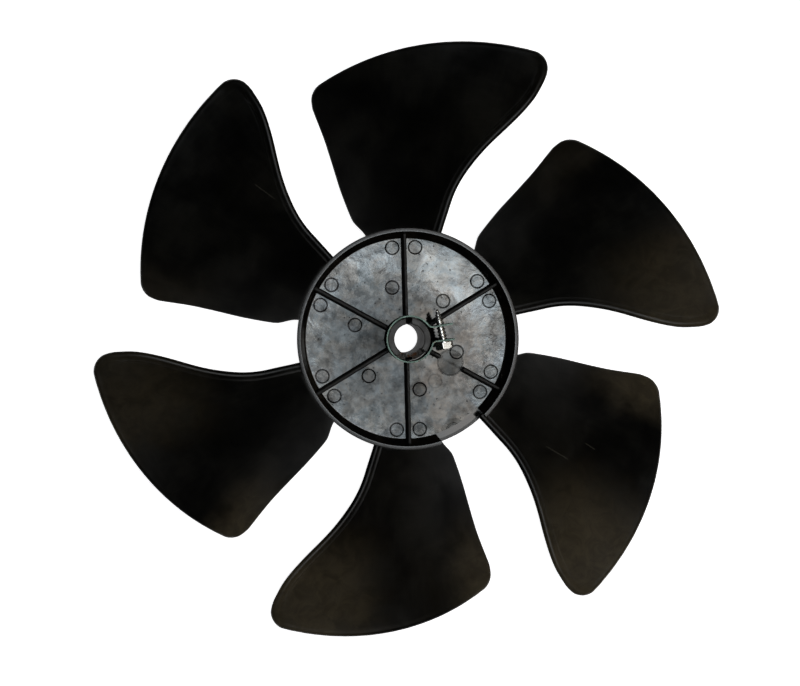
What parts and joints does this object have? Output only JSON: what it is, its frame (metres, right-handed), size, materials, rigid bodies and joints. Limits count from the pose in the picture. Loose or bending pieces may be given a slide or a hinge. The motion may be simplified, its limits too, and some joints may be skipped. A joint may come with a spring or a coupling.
{
  "type": "axial fan impeller",
  "caption": "Moulded axial fan impeller with twisted forward-swept blades on an open drum hub, held on its shaft by a split boss with a band clamp and hex screw.",
  "frame": {"origin": "on the axis of the shaft bore, at the back edge of the hub drum", "axes": "+Z along the bore out of the open front of the hub, +Y through one of the hub's ribs"},
  "size_m": [0.2646, 0.254, 0.0437],
  "materials": {
    "black_plastic": "satin black glass-filled moulding, scuffed and dusty",
    "clamp_steel": "spring steel with a greenish zinc finish, tinted brown in places",
    "screw_steel": "bright zinc-plated steel"
  },
  "bodies": {
    "root": {"impeller": "black_plastic", "hub_clamp": "clamp_steel", "clamp_screw": "screw_steel"}
  },
  "joints": []
}
